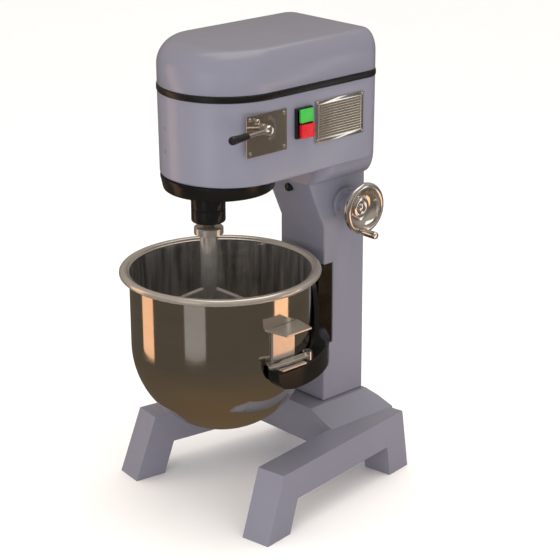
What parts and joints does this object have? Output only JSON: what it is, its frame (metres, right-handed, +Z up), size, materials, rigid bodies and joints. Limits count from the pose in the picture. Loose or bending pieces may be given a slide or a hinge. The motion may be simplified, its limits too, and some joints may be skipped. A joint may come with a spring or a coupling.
{
  "type": "commercial stand mixer",
  "caption": "Floor-standing planetary dough mixer: splayed base, column with bowl lift, geared head, flat beater and steel bowl.",
  "frame": {"origin": "on the floor, under the middle of the machine's bounding box", "axes": "+Z up, -Y towards the front (bowl side), +X towards the side with the controls and the handwheel"},
  "size_m": [0.515, 0.6427, 1.0563],
  "materials": {
    "paint": "semi-gloss grey enamel on cast iron and sheet steel",
    "black_enamel": "gloss black enamel on cast iron",
    "polished_steel": "mirror polished stainless steel",
    "chrome": "bright chrome plate",
    "machined_steel": "machined, oiled",
    "cast_aluminium": "polished casting",
    "bronze": "machined bronze",
    "rubber": "satin black rubber",
    "black_plastic": "moulded black plastic",
    "green_plastic": "moulded green plastic",
    "red_plastic": "moulded red plastic",
    "motor_enamel": "dark motor enamel"
  },
  "bodies": {
    "root": {"base_casting": "paint", "column_casting": "paint", "column_rear_cover": "paint", "column_plug": "black_plastic", "cable_gland": "black_plastic", "slide_rail_left": "machined_steel", "slide_rail_right": "machined_steel", "head_housing": "paint", "head_gasket": "rubber", "head_hood": "paint", "gear_selector_plate": "chrome", "switch_housing": "black_plastic", "vent_panel_right": "chrome", "vent_panel_left": "chrome", "gearbox_plate": "machined_steel", "main_bearing_lower": "machined_steel", "main_bearing_upper": "machined_steel", "counter_bearing_lower": "machined_steel", "counter_bearing_upper": "machined_steel", "motor_body": "motor_enamel", "motor_end_cap": "motor_enamel", "v_belt": "rubber", "planetary_flange": "black_enamel", "ring_gear": "machined_steel", "screw_bush_lower": "machined_steel", "screw_bush_upper": "machined_steel", "handwheel_flange": "paint"},
    "carriage": {"bowl_yoke": "black_enamel", "lift_slide": "machined_steel", "lift_nut": "bronze", "bowl_shell": "polished_steel", "bowl_bracket_left": "chrome", "bowl_bracket_right": "chrome"},
    "clamp_left": {"bowl_clamp_left": "chrome"},
    "clamp_right": {"bowl_clamp_right": "chrome"},
    "wheel": {"handwheel": "chrome", "handwheel_shaft": "machined_steel", "bevel_pinion": "machined_steel"},
    "grip": {"handwheel_grip": "chrome"},
    "screw": {"lift_screw": "machined_steel", "bevel_gear": "machined_steel"},
    "planetary": {"planet_carrier": "black_enamel", "main_shaft": "machined_steel", "main_gear_low": "machined_steel"},
    "gear_middle": {"main_gear_middle": "machined_steel"},
    "gear_high": {"main_gear_high": "machined_steel"},
    "sleeve": {"clutch_sleeve": "machined_steel"},
    "agitator": {"flat_beater": "cast_aluminium", "agitator_hub": "black_enamel", "agitator_spindle": "machined_steel", "planet_gear": "machined_steel"},
    "counter": {"countershaft": "machined_steel", "countershaft_pulley": "machined_steel"},
    "motor": {"motor_shaft": "machined_steel", "motor_pulley": "machined_steel"},
    "lever": {"gear_lever": "chrome", "lever_grip": "black_plastic"},
    "fork": {"shift_fork": "machined_steel"},
    "start": {"start_button": "green_plastic"},
    "stop": {"stop_button": "red_plastic"}
  },
  "joints": [
    {"name": "bowl_lift", "type": "slide", "parent": "root", "child": "carriage", "axis": [0, 0, 1], "range_m": [0, 0.095]},
    {"name": "handwheel_spin", "type": "hinge", "parent": "root", "child": "wheel", "pos_m": [0.104, 0.21, 0.651], "axis": [1, 0, 0], "range_deg": [-3421, 1]},
    {"name": "screw_spin", "type": "hinge", "parent": "root", "child": "screw", "pos_m": [0, 0.21, 0.285], "axis": [0, 0, 1], "range_deg": [-3421, 1]},
    {"name": "grip_spin", "type": "hinge", "parent": "wheel", "child": "grip", "pos_m": [0.1425, 0.1935, 0.603], "axis": [1, 0, 0], "continuous": true},
    {"name": "planetary_spin", "type": "hinge", "parent": "root", "child": "planetary", "pos_m": [0, -0.1, 0.7378], "axis": [0, 0, 1], "continuous": true},
    {"name": "agitator_spin", "type": "hinge", "parent": "planetary", "child": "agitator", "pos_m": [0.02679, -0.15369, 0.677], "axis": [0, 0, 1], "continuous": true},
    {"name": "countershaft_spin", "type": "hinge", "parent": "root", "child": "counter", "pos_m": [0, 0.015, 0.773], "axis": [0, 0, 1], "continuous": true},
    {"name": "motor_spin", "type": "hinge", "parent": "root", "child": "motor", "pos_m": [0, 0.165, 0.931], "axis": [0, 0, 1], "continuous": true},
    {"name": "gear_middle_spin", "type": "hinge", "parent": "root", "child": "gear_middle", "pos_m": [0, -0.1, 0.83], "axis": [0, 0, 1], "continuous": true},
    {"name": "gear_high_spin", "type": "hinge", "parent": "root", "child": "gear_high", "pos_m": [0, -0.1, 0.86], "axis": [0, 0, 1], "continuous": true},
    {"name": "gear_lever_turn", "type": "hinge", "parent": "root", "child": "lever", "pos_m": [0.146, -0.097, 0.892], "axis": [1, 0, 0], "range_deg": [-30, 30]},
    {"name": "fork_slide", "type": "slide", "parent": "root", "child": "fork", "axis": [0, 0, 1], "range_m": [-0.0061, 0.0061]},
    {"name": "sleeve_slide", "type": "slide", "parent": "planetary", "child": "sleeve", "axis": [0, 0, 1], "range_m": [-0.0061, 0.0061]},
    {"name": "start_press", "type": "slide", "parent": "root", "child": "start", "axis": [-1, 0, 0], "range_m": [0, 0.004], "stiffness_N_per_m": 400},
    {"name": "stop_press", "type": "slide", "parent": "root", "child": "stop", "axis": [-1, 0, 0], "range_m": [0, 0.004], "stiffness_N_per_m": 400},
    {"name": "clamp_left_swing", "type": "hinge", "parent": "carriage", "child": "clamp_left", "pos_m": [-0.219, -0.044, 0.3858], "axis": [0, 0, 1], "range_deg": [-100, 0]},
    {"name": "clamp_right_swing", "type": "hinge", "parent": "carriage", "child": "clamp_right", "pos_m": [0.219, -0.044, 0.3858], "axis": [0, 0, 1], "range_deg": [0, 100]}
  ],
  "couplings": [
    {"joint": "handwheel_spin", "follows": "bowl_lift", "rad_per_m": -628.32},
    {"joint": "screw_spin", "follows": "bowl_lift", "rad_per_m": -628.32},
    {"joint": "agitator_spin", "follows": "planetary_spin", "ratio": -3.1429},
    {"joint": "countershaft_spin", "follows": "planetary_spin", "ratio": -2.2857},
    {"joint": "motor_spin", "follows": "planetary_spin", "ratio": -5.235},
    {"joint": "gear_middle_spin", "follows": "planetary_spin", "ratio": 1.6085},
    {"joint": "gear_high_spin", "follows": "planetary_spin", "ratio": 2.2857},
    {"joint": "fork_slide", "follows": "gear_lever_turn", "m_per_rad": 0.011459},
    {"joint": "sleeve_slide", "follows": "gear_lever_turn", "m_per_rad": 0.011459}
  ]
}
